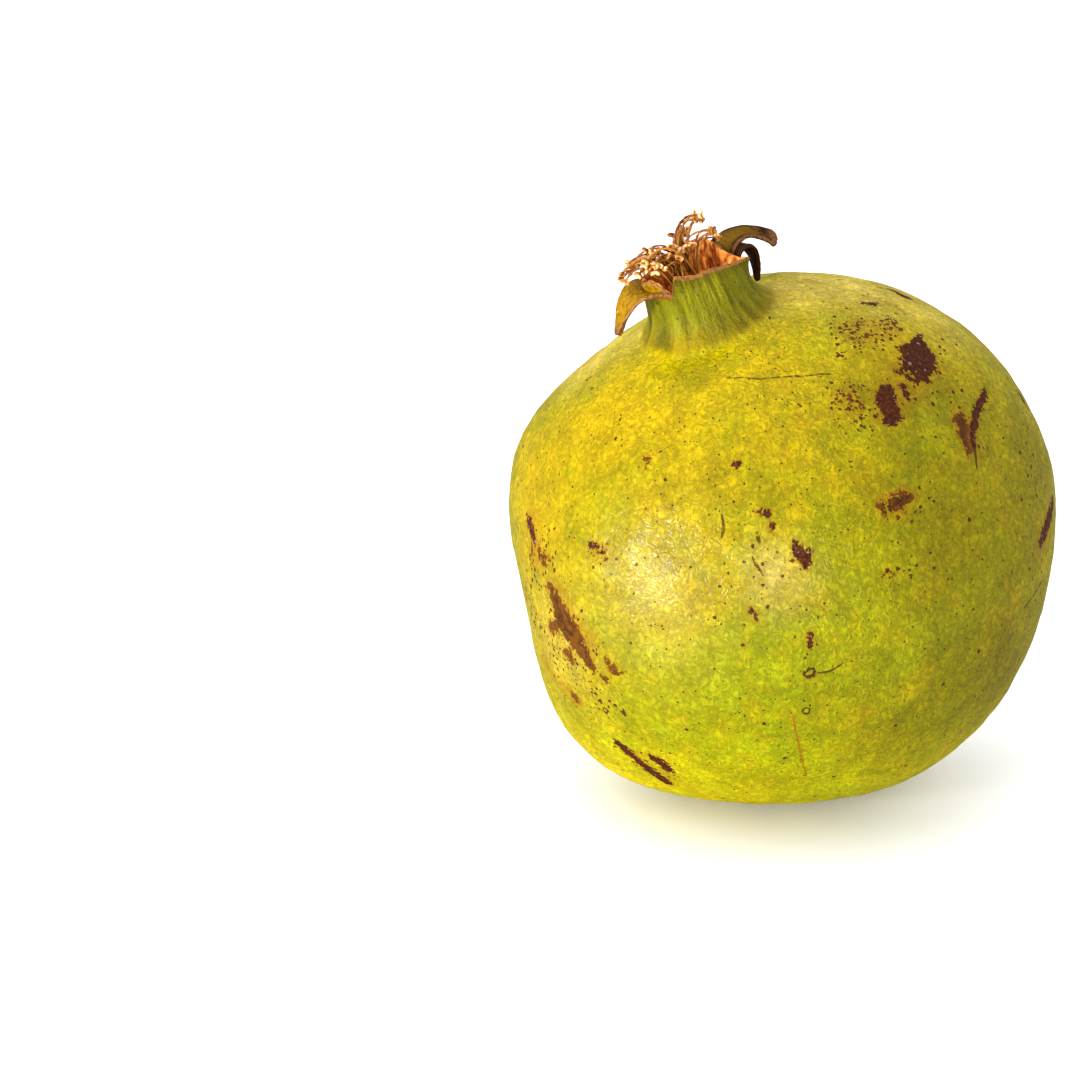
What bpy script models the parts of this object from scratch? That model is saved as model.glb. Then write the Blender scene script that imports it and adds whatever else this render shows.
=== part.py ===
"""A whole pomegranate at rest: rind with neck and sepals, dried stamens, and stem stub.

Metres, +Z up. The origin is the middle of the small flat spot that the fruit rests on.
The fruit has an axis of its own, from the stem to the crown, which leans to the left
(-X) and to the front (-Y). Points on the fruit are worked out in its own frame, whose
origin is the body's middle and whose third axis is that axis, and then turned into place.
"""

import math
import random

import bpy
from mathutils import Vector

MM = 0.001

# How the fruit lies
REST_HEIGHT = 46.6 * MM  # from the flat spot to the body's middle
AXIS = Vector((-0.315, -0.187, 0.930)).normalized()

# The body, an ellipsoid with soft corners
BODY_RADIUS = 49.2 * MM
BODY_HALF_HEIGHT = 47.2 * MM
SIDES = 48
BODY_ROWS = 34

# The soft corners that bound the broad front face. They lie on a ring that leans back.
# Each is an hour angle on that ring, clockwise from the top, and a height in millimetres.
RING_LEAN = math.radians(17)
RING_CORNERS = (
    (14, 0.9),
    (38, 1.2),
    (70, 0.0),
    (96, -1.2),
    (126, 0.0),
    (154, 0.3),
    (178, -1.2),
    (224, 3.0),
    (258, -1.8),
    (288, 2.4),
    (318, -0.9),
)
RING_SPREAD = math.radians(14)

# Soft ribs from the crown to the stem, and lumps that face other ways:
# azimuth and elevation in degrees, height in millimetres
RIBS = 5
RIB_HEIGHT = 0.45 * MM
FREE_LUMPS = (
    (-125, 15, 0.7),
    (-80, -25, 0.9),
    (-60, 35, 0.6),
    (60, 10, 1.2),
    (120, -20, 1.0),
    (95, 45, -0.8),
)
FREE_SPREAD = math.radians(26)

# The dimple round the stem
DIMPLE_DEPTH = 4.2 * MM
DIMPLE_RADIUS = 6.4 * MM

# The neck, which widens where it leaves the body, and the cup in it
ROOT_RADIUS = 13.2 * MM
NECK_RADIUS = 8.7 * MM
NECK_HEIGHT = 11.0 * MM
ROOT_WIDENING = 2.6 * MM
NECK_ROWS = 7
WALL = 1.3 * MM
CUP_DEPTH = 7.5 * MM
CUP_FLOOR_RADIUS = 5.4 * MM

# The neck's rim. Turns count from the right, anticlockwise from above, in degrees, and
# "before" and "after" say how far a feature reaches to either side of its turn.
# The rim stands high at the front, on both sides of a notch with one steep side, and
# falls to the right.
LOBE = {"turn": 68, "before": 62, "after": 74, "height": 1.5 * MM}
FRONT_LOBE = {"turn": 252, "before": 8, "after": 100, "height": 1.6 * MM}
LEFT_LOBE = {"turn": 214, "before": 28, "after": 60, "height": 1.9 * MM}
LOW_SIDE = {"turn": 358, "before": 60, "after": 50, "height": -1.2 * MM}
NOTCH = {"turn": 243, "before": 16, "after": 7, "height": -2.0 * MM}
RIM_FEATURES = (LOBE, FRONT_LOBE, LEFT_LOBE, LOW_SIDE, NOTCH)

# These move the rim outward or inward: a corner at the right, between two flat sides
CORNER = {"turn": 353, "before": 30, "after": 26, "height": 0.8 * MM}
FRONT_FLAT = {"turn": 302, "before": 50, "after": 50, "height": -2.0 * MM}
BACK_FLAT = {"turn": 30, "before": 37, "after": 38, "height": -1.9 * MM}

# The other sepals: where round the neck, their length from the rim and width at the root
# in millimetres, their lean from upright in degrees at even steps from root to tip, how
# far the tip drifts sideways and how much the blade is cupped, in millimetres, its twist
# at the tip in degrees, and the share of its width that it keeps there.
SEPALS = (
    {
        "turn": 200,
        "length": 9.2,
        "width": 13,
        "leans": (0, 62, 140, 160, 154),
        "drift": 0.5,
        "cup": 0.9,
        "twist": 0,
        "tip": 0.04,
    },
    {
        "turn": 46,
        "length": 9.2,
        "width": 8.5,
        "leans": (0, 72, 106, 130, 160),
        "drift": -4.8,
        "cup": 0.8,
        "twist": 34,
        "tip": 0.4,
    },
    {
        "turn": 30,
        "length": 9.0,
        "width": 8,
        "leans": (0, 95, 172, 196, 188),
        "drift": 0.0,
        "cup": 0.8,
        "twist": 0,
        "tip": 0.05,
    },
    {
        "turn": 124,
        "length": 6.5,
        "width": 9,
        "leans": (0, 60, 150, 178, 170),
        "drift": 0.0,
        "cup": 0.6,
        "twist": 0,
        "tip": 0.06,
    },
)
SEPAL_SINK = 3.0 * MM
SEPAL_THICKNESS = 1.1 * MM
SEPAL_TIP_THICKNESS = 0.7 * MM
SEPAL_ROWS = 10
SEPAL_COLUMNS = 4

# Stamens. Their heads stand in loose tufts, from far out over the left of the rim up to
# a tall tuft at the back: where the tuft's middle is, to the right of the axis, behind it
# and above the rim, how far its heads stray, and how many they are. All in millimetres.
STAMEN_SEED = 8
TUFTS = (
    (-11.3, -1.8, 2.9, 1.0, 4),
    (-9.2, 0.2, 4.0, 0.9, 4),
    (-7.4, -2.8, 3.9, 1.2, 4),
    (-5.2, 0.8, 3.9, 1.1, 4),
    (-4.6, -4.0, 3.4, 1.3, 4),
    (-2.0, -1.4, 4.0, 1.4, 5),
    (-0.8, 2.4, 5.0, 1.2, 4),
    (0.4, 0.6, 3.8, 1.2, 4),
    (3.6, 2.2, 7.2, 1.0, 5),
    (1.6, 3.6, 5.0, 1.0, 3),
    (5.6, 3.2, 3.4, 0.8, 4),
)
STAMEN_RING_RADIUS = 4.6 * MM
STAMEN_RING_HEIGHT = 1.6 * MM
STAMEN_RING_SIDES = 14
STAMEN_ROOT_HEIGHT = 0.9 * MM  # of the filaments' roots, above the cup's floor
ROOT_MIDDLE = Vector((-1.2, 0.4, 0.0)) * MM
ROOT_SPREAD = 2.9 * MM
KNEE_SHARE = 0.25  # of the way out, where a filament's bend is, and how far it rises there
KNEE_RISE = 0.4
KNEE_STRAY = 0.9 * MM
FILAMENT_RADIUS = 0.24 * MM
FILAMENT_SEGMENTS = 4
ANTHER_RADIUS = 0.45 * MM
ANTHER_BEND = 0.7 * MM

# The stem stub
STEM_LENGTH = 4.2 * MM
STEM_RADIUS = 2.4 * MM
STEM_SEAT = 0.65 * MM  # how far its flat root stays below the dimple's deepest point
STEM_TRUNK = ((0.0, 1.0), (0.3, 0.86), (0.62, 0.8), (0.8, 0.6))  # share along, share of radius
STEM_FIBRES = 9
FIBRE_RADII = (0.5 * MM, 0.5 * MM, 0.32 * MM)
STEM_BRACTS = 5
BRACT_RADII = (0.75 * MM, 0.7 * MM, 0.35 * MM)
STEM_SEED = 4

GAP = 0.3 * MM  # between pieces

CENTRE = Vector((0.0, 0.0, REST_HEIGHT))
TURN_IN_PLACE = Vector((0, 0, 1)).rotation_difference(AXIS).to_matrix()


def direction(azimuth, elevation):
    """A world direction from angles in degrees."""
    a, e = math.radians(azimuth), math.radians(elevation)
    return Vector((math.cos(e) * math.cos(a), math.cos(e) * math.sin(a), math.sin(e)))


def ring_direction(hour):
    """A world direction on the ring of soft corners, from degrees clockwise of the top."""
    a = math.radians(hour)
    up = math.cos(a)
    return Vector((math.sin(a), up * math.sin(RING_LEAN), up * math.cos(RING_LEAN)))


LUMPS = [(ring_direction(hour), height * MM, RING_SPREAD) for hour, height in RING_CORNERS]
LUMPS += [(direction(a, e), height * MM, FREE_SPREAD) for a, e, height in FREE_LUMPS]


def swelling(way):
    """How far the body stands out beyond its ellipsoid along a world direction."""
    out = 0.0
    for centre, height, spread in LUMPS:
        out += height * math.exp((way.dot(centre) - 1.0) / spread**2)
    return out


def rib(polar, turn):
    """The height of the soft ribs, which fade towards both ends."""
    return RIB_HEIGHT * math.sin(polar) ** 2 * math.cos(RIBS * turn + 0.7 * math.sin(turn))


def placed(point):
    """A point of the plain turned shape, moved out by the lumps and ribs, in world coordinates."""
    way = point.normalized()
    polar = math.acos(max(-1.0, min(1.0, way.z)))
    out = swelling(TURN_IN_PLACE @ way) + rib(polar, math.atan2(way.y, way.x))
    return CENTRE + TURN_IN_PLACE @ (point + way * out)


def around(rho, turn, height):
    """A point in the fruit's own frame from its distance and turn about the axis."""
    return Vector((rho * math.cos(turn), rho * math.sin(turn), height))


def body_profile():
    """(radius, height) from beside the stem's end up to the root of the neck."""
    root_angle = math.asin(ROOT_RADIUS / BODY_RADIUS)
    points = []
    for row in range(1, BODY_ROWS + 1):
        share = row / BODY_ROWS
        angle = (math.pi - root_angle) * (0.5 * share + 0.5 * share**1.5)
        rho = BODY_RADIUS * math.sin(angle)
        height = -BODY_HALF_HEIGHT * math.cos(angle)
        if angle < math.pi / 2:
            height += DIMPLE_DEPTH * math.exp(-((rho / DIMPLE_RADIUS) ** 2))
        points.append((rho, height))
    return points


ROOT_HEIGHT = body_profile()[-1][1]
RIM_HEIGHT = ROOT_HEIGHT + NECK_HEIGHT


def neck_radius(above):
    """The neck's outer radius at a height above its root."""
    return NECK_RADIUS + (ROOT_RADIUS - NECK_RADIUS) * math.exp(-above / ROOT_WIDENING)


def ridge(feature, turn):
    """What a feature of the rim adds at a turn: its whole height at its own, none at its ends."""
    away = (math.degrees(turn) - feature["turn"] + 180.0) % 360.0 - 180.0
    reach = feature["before"] if away < 0 else feature["after"]
    return feature["height"] * max(0.0, 1.0 - abs(away) / reach)


def dent(feature, turn):
    """The same with a round middle."""
    share = ridge(feature, turn) / feature["height"]
    return feature["height"] * share * (2.0 - share)


def neck_profile(turn):
    """(radius, height) up the neck, over its rim and down to the cup's floor."""
    rise = NECK_HEIGHT + sum(ridge(each, turn) for each in RIM_FEATURES)
    outward = ridge(CORNER, turn) + dent(FRONT_FLAT, turn) + dent(BACK_FLAT, turn)
    points = []
    for row in range(1, NECK_ROWS + 1):
        share = (row / NECK_ROWS) ** 1.3
        points.append((neck_radius(rise * share) + outward * share**2, ROOT_HEIGHT + rise * share))
    outer = neck_radius(NECK_HEIGHT) + outward
    rim = ROOT_HEIGHT + rise
    points[-1] = (outer - 0.25 * WALL, rim)
    points.append((outer - 0.75 * WALL, rim))
    inner = outer - WALL
    floor = ROOT_HEIGHT + NECK_HEIGHT - CUP_DEPTH
    for share in (0.12, 0.4, 0.7, 0.9):
        bowl = math.sqrt(1.0 - share**2)
        rho = CUP_FLOOR_RADIUS + (inner - CUP_FLOOR_RADIUS) * bowl
        points.append((rho, rim + (floor - rim) * share))
    points.append((0.8 * CUP_FLOOR_RADIUS, floor))
    points.append((0.4 * CUP_FLOOR_RADIUS, floor))
    return points


def mesh_object(name, vertices, faces):
    """A mesh object in the scene from world points and faces."""
    mesh = bpy.data.meshes.new(name)
    mesh.from_pydata([tuple(v) for v in vertices], [], faces)
    mesh.validate()
    made = bpy.data.objects.new(name, mesh)
    bpy.context.scene.collection.objects.link(made)
    return made


def tube_faces(rings, sides, first_pole, last_pole):
    """Faces for rings of points that follow each other, closed at both ends by a pole."""
    faces = []
    for side in range(sides):
        following = (side + 1) % sides
        faces.append((first_pole, following, side))
        for ring in range(rings - 1):
            a, b = ring * sides, (ring + 1) * sides
            faces.append((a + side, a + following, b + following, b + side))
        top = (rings - 1) * sides
        faces.append((last_pole, top + side, top + following))
    return faces


def make_rind():
    """The body, neck and cup as one closed turned skin, flattened where it rests."""
    columns = []
    for side in range(SIDES):
        turn = math.tau * side / SIDES
        outline = body_profile() + neck_profile(turn)
        columns.append([placed(around(rho, turn, height)) for rho, height in outline])
    rows = len(columns[0])
    points = [column[row] for row in range(rows) for column in columns]
    stem_pole = placed(Vector((0.0, 0.0, -BODY_HALF_HEIGHT + DIMPLE_DEPTH)))
    cup_pole = placed(Vector((0.0, 0.0, RIM_HEIGHT - CUP_DEPTH)))
    points += [stem_pole, cup_pole]
    for point in points:
        point.z = max(point.z, 0.0)
    count = rows * SIDES
    return mesh_object("rind", points, tube_faces(rows, SIDES, count, count + 1))


def sepal_lean(sepal, share):
    """A sepal's lean from upright along its length, in radians."""
    leans = sepal["leans"]
    place = share * (len(leans) - 1)
    step = min(int(place), len(leans) - 2)
    return math.radians(leans[step] + (leans[step + 1] - leans[step]) * (place - step))


def sepal_path(sepal):
    """(radius, height, lean) along the middle of a sepal, from inside the wall to its tip."""
    rho = neck_radius(NECK_HEIGHT) - 0.5 * WALL
    height = RIM_HEIGHT - SEPAL_SINK
    step = (sepal["length"] * MM + SEPAL_SINK) / SEPAL_ROWS
    path = []
    for row in range(SEPAL_ROWS + 1):
        lean = sepal_lean(sepal, row / SEPAL_ROWS)
        path.append((rho, height, lean))
        lean = sepal_lean(sepal, min(1.0, (row + 0.5) / SEPAL_ROWS))
        rho += step * math.sin(lean)
        height += step * math.cos(lean)
    return path


def sepal_width(sepal, share):
    """A sepal's width along its length, as a share of the width at its root."""
    narrowing = (1.0 - share) ** 0.8 * (0.75 + 0.25 * math.cos(math.pi * share))
    return narrowing + 0.28 * share * (1.0 - share) + sepal["tip"] * share**2


def make_sepal(sepal):
    """One sepal as a closed curved blade with its root inside the neck's wall."""
    turn = math.radians(sepal["turn"])
    half_width = sepal["width"] * MM / 2
    front, back = [], []
    for row, (rho, height, lean) in enumerate(sepal_path(sepal)):
        share = row / SEPAL_ROWS
        thick = SEPAL_THICKNESS + (SEPAL_TIP_THICKNESS - SEPAL_THICKNESS) * share
        drift = sepal["drift"] * MM * share**2
        twist = math.radians(sepal["twist"]) * share
        for column in range(SEPAL_COLUMNS + 1):
            across = 2.0 * column / SEPAL_COLUMNS - 1.0
            sideways = across * half_width * sepal_width(sepal, share)
            cup = sepal["cup"] * MM * share * across**2
            along = turn + (sideways * math.cos(twist) + drift) / rho
            for side, skin in ((-1, front), (1, back)):
                out = side * thick / 2 - cup - sideways * math.sin(twist)
                r = rho + out * math.cos(lean)
                skin.append(placed(around(r, along, height - out * math.sin(lean))))
    return mesh_object("sepal", front + back, blade_faces(SEPAL_ROWS, SEPAL_COLUMNS))


def blade_faces(rows, columns):
    """Triangles of a blade: an inner skin, an outer skin split alike, and its edge."""
    across = columns + 1
    skin = (rows + 1) * across
    faces = []
    for row in range(rows):
        for column in range(columns):
            a = row * across + column
            b, c, d = a + 1, a + across + 1, a + across
            faces += [(a, c, b), (a, d, c)]
            faces += [(skin + a, skin + b, skin + c), (skin + a, skin + c, skin + d)]
    border = list(range(columns))
    border += [row * across + columns for row in range(rows)]
    border += [rows * across + column for column in range(columns, 0, -1)]
    border += [row * across for row in range(rows, 0, -1)]
    for here, there in zip(border, border[1:] + border[:1]):
        faces += [(here, there, skin + there), (here, skin + there, skin + here)]
    return faces


def fused(name, pieces, material):
    """The pieces as one object: a Boolean union, applied, with the pieces removed."""
    base, others = pieces[0], pieces[1:]
    group = bpy.data.collections.new(name + "_pieces")
    bpy.context.scene.collection.children.link(group)
    for piece in others:
        bpy.context.scene.collection.objects.unlink(piece)
        group.objects.link(piece)
    union = base.modifiers.new("union", "BOOLEAN")
    union.operation = "UNION"
    union.operand_type = "COLLECTION"
    union.collection = group
    union.solver = "MANIFOLD"
    seen = base.evaluated_get(bpy.context.evaluated_depsgraph_get())
    mesh = bpy.data.meshes.new_from_object(seen)
    for piece in others + [base]:
        bpy.data.objects.remove(piece)
    bpy.data.collections.remove(group)
    return finished(name, mesh, material)


def finished(name, mesh, material):
    """A named object with its material, shaded smooth but for its sharp edges."""
    mesh.name = name
    mesh.materials.clear()
    mesh.materials.append(material)
    mesh.shade_smooth()
    mesh.set_sharp_from_angle(angle=math.radians(50))
    made = bpy.data.objects.new(name, mesh)
    bpy.context.scene.collection.objects.link(made)
    return made


def plain_material(name, colour, roughness):
    """A Principled material that isn't metal."""
    material = bpy.data.materials.new(name)
    material.use_nodes = True
    shader = material.node_tree.nodes["Principled BSDF"]
    shader.inputs["Base Color"].default_value = (*colour, 1.0)
    shader.inputs["Roughness"].default_value = roughness
    shader.inputs["Metallic"].default_value = 0.0
    return material


def make_fruit():
    """The rind with its neck and sepals."""
    pieces = [make_rind()] + [make_sepal(sepal) for sepal in SEPALS]
    return fused("fruit", pieces, plain_material("rind", (0.45, 0.42, 0.05), 0.4))


def rod(points, radii, sides):
    """A closed rod along points, with a radius at each, whose sides run on without a twist."""
    skin = []
    aside = (points[1] - points[0]).orthogonal()
    for place, (point, radius) in enumerate(zip(points, radii)):
        before = points[max(place - 1, 0)]
        after = points[min(place + 1, len(points) - 1)]
        ahead = (after - before).normalized()
        aside = (aside - ahead * aside.dot(ahead)).normalized()
        other = ahead.cross(aside)
        for side in range(sides):
            angle = math.tau * side / sides
            skin.append(point + radius * (math.cos(angle) * aside + math.sin(angle) * other))
    count = len(skin)
    skin += [points[0], points[-1]]
    return mesh_object("rod", skin, tube_faces(len(points), sides, count, count + 1))


def make_stamen_ring():
    """The low body at the floor of the cup that the filaments rise from."""
    floor = RIM_HEIGHT - CUP_DEPTH + GAP
    shape = ((0.55, 0.0), (0.92, 0.15), (1.0, 0.6), (0.6, 1.0))
    sides = STAMEN_RING_SIDES
    points = []
    for share, up in shape:
        for side in range(sides):
            height = floor + up * STAMEN_RING_HEIGHT
            turn = math.tau * side / sides
            points.append(placed(around(share * STAMEN_RING_RADIUS, turn, height)))
    count = len(points)
    points.append(placed(Vector((0, 0, floor))))
    points.append(placed(Vector((0, 0, floor + STAMEN_RING_HEIGHT))))
    return mesh_object("stamen_ring", points, tube_faces(len(shape), sides, count, count + 1))


def make_stamen(chance, tuft):
    """One filament with its bean-shaped anther, as [filament, anther]."""
    right, behind, up, stray, _ = tuft
    strays = Vector([chance.uniform(-1.0, 1.0) for _ in range(3)]) * stray
    head = (Vector((right, behind, up)) + strays) * MM + Vector((0.0, 0.0, RIM_HEIGHT))
    root = around(ROOT_SPREAD * math.sqrt(chance.random()), chance.uniform(0.0, math.tau), 0.0)
    start = ROOT_MIDDLE + root + Vector((0.0, 0.0, RIM_HEIGHT - CUP_DEPTH + STAMEN_ROOT_HEIGHT))
    knee = start.lerp(head, KNEE_SHARE)
    knee.z = head.z + KNEE_RISE * math.hypot(head.x - start.x, head.y - start.y)
    knee += Vector([chance.uniform(-1.0, 1.0) for _ in range(3)]) * KNEE_STRAY
    points = []
    for step in range(FILAMENT_SEGMENTS + 1):
        share = step / FILAMENT_SEGMENTS
        points.append(start.lerp(knee, share).lerp(knee.lerp(head, share), share))
    heading = (points[-1] - points[-2]).normalized()
    across = heading.cross(Vector([chance.uniform(-1, 1) for _ in range(3)])).normalized()
    bean = []
    for angle in (-100, -50, 0, 50, 100):
        a = math.radians(angle)
        bend = across * math.sin(a) + heading * (1.0 - math.cos(a))
        bean.append(points[-1] + ANTHER_BEND * bend)
    filament = rod([placed(p) for p in points], [FILAMENT_RADIUS] * len(points), 4)
    swell = (0.5, 1.0, 0.75, 1.0, 0.5)
    anther = rod([placed(p) for p in bean], [s * ANTHER_RADIUS for s in swell], 4)
    return [filament, anther]


def make_stamens():
    """The tuft of dried stamens as one body."""
    chance = random.Random(STAMEN_SEED)
    pieces = [make_stamen_ring()]
    for tuft in TUFTS:
        for _ in range(tuft[-1]):
            pieces += make_stamen(chance, tuft)
    return fused("stamens", pieces, plain_material("stamen", (0.55, 0.28, 0.09), 0.6))


def make_stem():
    """The woody stub with split fibres at its end and small bracts round its base."""
    chance = random.Random(STEM_SEED)
    down = Vector((0, 0, -1))
    base = Vector((0, 0, -BODY_HALF_HEIGHT + DIMPLE_DEPTH - GAP - STEM_SEAT))

    def along(share, aside=Vector((0, 0, 0))):
        return placed(base + down * STEM_LENGTH * share + aside)

    points = [along(share) for share, _ in STEM_TRUNK]
    pieces = [rod(points, [of_radius * STEM_RADIUS for _, of_radius in STEM_TRUNK], 12)]
    for fibre in range(STEM_FIBRES):
        angle = math.tau * (fibre + chance.uniform(-0.2, 0.2)) / STEM_FIBRES
        aside = Vector((math.cos(angle), math.sin(angle), 0.0)) * STEM_RADIUS
        end = chance.uniform(0.85, 1.0)
        out = chance.uniform(0.7, 1.15)
        points = [along(0.35, 0.6 * aside), along(0.65, 0.68 * aside), along(end, out * aside)]
        pieces.append(rod(points, FIBRE_RADII, 5))
    for bract in range(STEM_BRACTS):
        angle = math.tau * (bract + chance.uniform(-0.2, 0.2)) / STEM_BRACTS
        aside = Vector((math.cos(angle), math.sin(angle), 0.0)) * STEM_RADIUS
        points = [along(0.12, 0.75 * aside), along(0.26, 1.3 * aside), along(0.42, 1.65 * aside)]
        pieces.append(rod(points, BRACT_RADII, 6))
    return fused("stem", pieces, plain_material("stem", (0.35, 0.17, 0.10), 0.8))


def main():
    for old in list(bpy.data.objects):
        bpy.data.objects.remove(old)
    make_fruit()
    make_stamens()
    make_stem()


main()
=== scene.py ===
"""The looks of the pomegranate: its skin with every mark, its dried crown and its stem stub.

The fine meshes follow the same turned shape as the solids that they replace. Points are
worked out in the fruit's own frame, in metres, and then turned into place. Marks that the
photograph shows are named by their place in it, and are put on the skin by sight.
"""

import math
import random

import bpy
import numpy as np
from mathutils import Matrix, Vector, noise
from mathutils.bvhtree import BVHTree


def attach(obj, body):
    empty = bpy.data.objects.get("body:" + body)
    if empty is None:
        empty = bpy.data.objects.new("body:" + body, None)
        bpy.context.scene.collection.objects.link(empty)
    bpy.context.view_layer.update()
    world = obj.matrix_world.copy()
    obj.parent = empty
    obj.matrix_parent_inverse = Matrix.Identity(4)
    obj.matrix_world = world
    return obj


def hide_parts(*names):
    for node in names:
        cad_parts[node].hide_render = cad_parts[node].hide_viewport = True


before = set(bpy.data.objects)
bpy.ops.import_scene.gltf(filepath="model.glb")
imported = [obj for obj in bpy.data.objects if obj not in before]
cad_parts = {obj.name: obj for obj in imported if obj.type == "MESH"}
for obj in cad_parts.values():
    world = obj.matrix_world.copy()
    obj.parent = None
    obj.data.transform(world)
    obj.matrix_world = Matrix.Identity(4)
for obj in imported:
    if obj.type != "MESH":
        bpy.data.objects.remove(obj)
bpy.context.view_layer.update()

MM = 0.001

# The view of the photograph
PHOTO_SIZE = 1080
FOCAL_PIXELS = 3333.0
SENSOR = 36.0
VIEW_ELEVATION = math.radians(17)
VIEW_DISTANCE = 0.6
AIM_LEFT = 43.6 * MM  # the photograph's middle, left of the body's middle

# The fruit's shape, as in its solids
REST_HEIGHT = 46.6 * MM
AXIS = Vector((-0.315, -0.187, 0.930)).normalized()
BODY_RADIUS = 49.2 * MM
BODY_HALF_HEIGHT = 47.2 * MM

# Soft corners: an hour angle on a ring that leans back, and a height in millimetres
RING_LEAN = math.radians(17)
RING_CORNERS = ((14, 0.9), (38, 1.2), (70, 0.0), (96, -1.2), (126, 0.0), (154, 0.3), (178, -1.2))
RING_CORNERS += ((224, 3.0), (258, -1.8), (288, 2.4), (318, -0.9))
RING_SPREAD = math.radians(14)
RIBS = 5  # soft ones, from the crown to the stem
RIB_HEIGHT = 0.45 * MM

# Lumps that face other ways: azimuth and elevation in degrees, height in millimetres
FREE_LUMPS = ((-125, 15, 0.7), (-80, -25, 0.9), (-60, 35, 0.6), (60, 10, 1.2), (120, -20, 1.0))
FREE_LUMPS += ((95, 45, -0.8),)
FREE_SPREAD = math.radians(26)

# The stem's dimple, the neck and the cup in it
DIMPLE_DEPTH = 4.2 * MM
DIMPLE_RADIUS = 6.4 * MM
ROOT_RADIUS = 13.2 * MM
NECK_RADIUS = 8.7 * MM
NECK_HEIGHT = 11.0 * MM
ROOT_WIDENING = 2.6 * MM
WALL = 1.3 * MM
RIM_WALL = 0.6 * MM
RIM_LIP = 0.14 * MM
RIM_ROUNDING = 0.4 * WALL
CUP_DEPTH = 7.5 * MM
CUP_FLOOR_RADIUS = 5.4 * MM

# Features of the rim: their turn, anticlockwise from the right, their reach before and
# after it, in degrees, and their height. The last four move the rim outward or inward.
LOBE = (68, 62, 74, 1.5 * MM)
FRONT_LOBE = (252, 8, 100, 1.6 * MM)
LEFT_LOBE = (214, 28, 60, 1.9 * MM)
LOW_SIDE = (358, 60, 50, -1.2 * MM)
NOTCH = (243, 16, 7, -2.0 * MM)
RIM_FEATURES = (LOBE, FRONT_LOBE, LEFT_LOBE, LOW_SIDE, NOTCH)
CORNER = (353, 30, 26, 0.8 * MM)
CORNER_TIP = (353, 9, 8, 0.7 * MM)
FRONT_FLAT = (302, 50, 50, -2.0 * MM)
BACK_FLAT = (30, 37, 38, -1.9 * MM)

# The free sepals. Their length, width, drift of the tip and cupping are in millimetres,
# their leans from root to tip and their twist in degrees. "tip" is the share of the width
# that is left at the tip, and "dry" how far the sepal has turned brown.
SEPAL_KEYS = ("turn", "length", "width", "leans", "drift", "cup", "twist", "tip", "dry")
SEPAL_VALUES = (
    (200, 9.2, 15.5, (0, 64, 134, 152, 144), 0.5, 0.9, 0, 0.04, 0.25),
    (46, 9.2, 8.0, (0, 72, 106, 132, 160), -4.8, 0.8, 46, 0.5, 0.55),
    (30, 9.0, 8.0, (0, 95, 172, 196, 188), 0.0, 0.8, 0, 0.05, 1.0),
    (124, 6.5, 9.0, (0, 60, 150, 178, 170), 0.0, 0.6, 0, 0.06, 0.8),
)
SEPALS = [dict(zip(SEPAL_KEYS, values)) for values in SEPAL_VALUES]
SEPAL_SINK = 3.0 * MM
SEPAL_THICKNESS = 1.1 * MM
SEPAL_TIP_THICKNESS = 0.7 * MM
SEPAL_RIPPLE = 0.22 * MM

# How fine the meshes are
COLUMNS = 360
BODY_ROWS = 172
NECK_ROWS = 44
RIM_ROWS = 7
CUP_ROWS = 22
SEPAL_ROWS = 44
SEPAL_SIDES = 32
FRONT_TURN = math.radians(270)
CROWDING = 0.36  # how much closer the columns stand in front than on average

# Relief of the skin
UNDULATION = 0.26 * MM
UNDULATION_SIZE = 13 * MM
CALM_RADIUS = 3 * MM  # round the stem's dimple, where the undulation fades in
CALM_FADE = 9 * MM
NECK_FOLD = 0.55 * MM
# Coarse and fine folds: how many to a radian, their length, the noise's seed and their share
FOLDS = ((3.1, 16 * MM, 3.0, 1.0), (11, 6 * MM, 5.0, 0.4))
FOLD_REACH = 24 * MM  # from the axis, over the shoulder
FOLD_FADE = 13 * MM
RIM_WEAR = 0.12 * MM

CENTRE = Vector((0.0, 0.0, REST_HEIGHT))
TURN_IN_PLACE = Vector((0, 0, 1)).rotation_difference(AXIS).to_matrix()
TURN = np.array(TURN_IN_PLACE)


# The camera


def view_frame():
    """The camera's place, its way forward, and its way up."""
    forward = Vector((0, math.cos(VIEW_ELEVATION), -math.sin(VIEW_ELEVATION)))
    up = Vector((0, math.sin(VIEW_ELEVATION), math.cos(VIEW_ELEVATION)))
    aim = CENTRE - Vector((AIM_LEFT, 0, 0))
    return aim - forward * VIEW_DISTANCE, forward, up


def added(name, data):
    """A new object in the scene."""
    made = bpy.data.objects.new(name, data)
    bpy.context.scene.collection.objects.link(made)
    return made


def make_camera():
    place, forward, _ = view_frame()
    data = bpy.data.cameras.new("camera")
    data.sensor_width = SENSOR
    data.lens = SENSOR * FOCAL_PIXELS / PHOTO_SIZE
    data.clip_start = 0.01
    camera = added("camera", data)
    camera.location = place
    camera.rotation_euler = forward.to_track_quat("-Z", "Y").to_euler()
    bpy.context.scene.camera = camera


def sight(x, y):
    """The camera's place, and the way from it to a pixel of the photograph."""
    place, forward, up = view_frame()
    middle = PHOTO_SIZE / 2
    aside = Vector((1, 0, 0)) * (x - middle) / FOCAL_PIXELS
    return place, (forward + aside - up * (y - middle) / FOCAL_PIXELS).normalized()


# The turned shape


def distance(points, middle):
    return np.linalg.norm(points - middle, axis=1)


def direction(azimuth, elevation):
    a, e = math.radians(azimuth), math.radians(elevation)
    return (math.cos(e) * math.cos(a), math.cos(e) * math.sin(a), math.sin(e))


def ring_direction(hour):
    a = math.radians(hour)
    up = math.cos(a)
    return (math.sin(a), up * math.sin(RING_LEAN), up * math.cos(RING_LEAN))


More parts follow.
